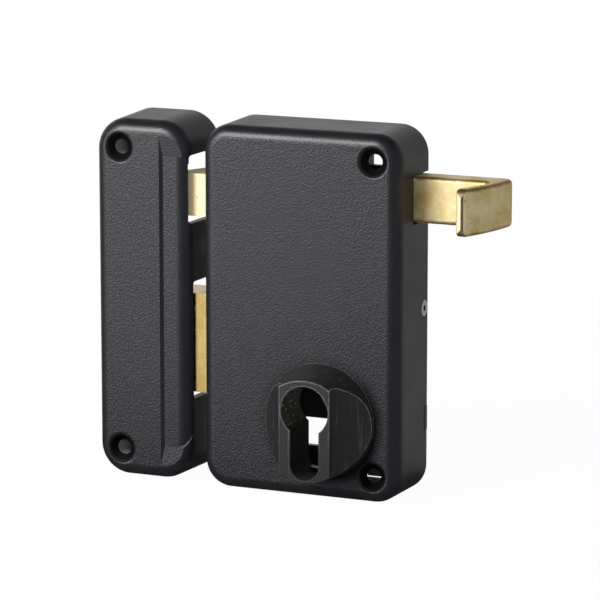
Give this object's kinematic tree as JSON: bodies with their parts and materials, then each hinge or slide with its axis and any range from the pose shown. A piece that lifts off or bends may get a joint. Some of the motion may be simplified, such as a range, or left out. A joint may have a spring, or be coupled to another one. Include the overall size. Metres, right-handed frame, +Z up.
{
  "type": "rim box lock",
  "caption": "Surface-mounted box lock with a sprung latch bolt, a sliding dead bolt, a pull handle, a euro-profile cylinder guard and a separate keep.",
  "frame": {"origin": "centre of the case on the plane that lies against the door", "axes": "+X from the keep towards the pull handle, +Y into the door, +Z up"},
  "size_m": [0.1491, 0.04, 0.1302],
  "materials": {
    "black_paint": "fine pebble-textured satin black paint",
    "guard_black": "smooth matt black paint",
    "plate_black": "thin black coating on pressed steel",
    "zinc": "bright zinc-plated steel",
    "spring_steel": "oiled spring steel",
    "dead_brass": "satin drawn brass",
    "latch_brass": "pale satin brass",
    "handle_brass": "cast brass, satin, with small pits"
  },
  "bodies": {
    "case": {"case_cover": "black_paint", "back_plate": "plate_black", "side_screws": "zinc", "cylinder_guard": "guard_black", "guard_clamp": "zinc", "guard_screws": "zinc", "latch_guide_post": "zinc", "latch_spring": "spring_steel", "latch_rod": "zinc", "main_post": "zinc", "lever_washer": "zinc", "post_clips": "spring_steel", "tumbler_pivot": "zinc", "tumbler_spring": "spring_steel"},
    "latch": {"latch_bolt": "latch_brass", "latch_bar": "zinc", "latch_rivets": "zinc", "pull_handle": "handle_brass", "handle_rivets": "zinc", "lever_pin": "zinc"},
    "deadbolt": {"deadbolt_head": "dead_brass", "deadbolt_tail": "zinc", "deadbolt_rivets": "zinc"},
    "lever": {"latch_lever": "zinc"},
    "tumbler_arm": {"tumbler": "zinc", "tumbler_stump": "zinc"},
    "keep": {"keep_shell": "black_paint"}
  },
  "joints": [
    {"name": "latch_slide", "type": "slide", "parent": "case", "child": "latch", "axis": [1, 0, 0], "range_m": [0, 0.012], "stiffness_N_per_m": 500, "springref_m": -0.008, "deforming": ["latch_spring"]},
    {"name": "deadbolt_slide", "type": "slide", "parent": "case", "child": "deadbolt", "axis": [1, 0, 0], "range_m": [0, 0.024]},
    {"name": "lever_swing", "type": "hinge", "parent": "case", "child": "lever", "pos_m": [0.005, -0.01625, 0.00711], "axis": [0, 1, 0], "range_deg": [-0.05, 23.05]},
    {"name": "tumbler_drop", "type": "hinge", "parent": "case", "child": "tumbler_arm", "pos_m": [0.027, -0.007, -0.0075], "axis": [0, 1, 0], "range_deg": [-7.8, 0], "stiffness_Nm_per_rad": 0.04, "springref_deg": -28.65, "deforming": ["tumbler_spring"]},
    {"name": "keep_setting", "type": "slide", "parent": "case", "child": "keep", "axis": [-1, 0, 0], "range_m": [0, 0.03]}
  ],
  "couplings": [
    {"joint": "lever_swing", "follows": "latch_slide", "rad_per_m": 33.452}
  ]
}
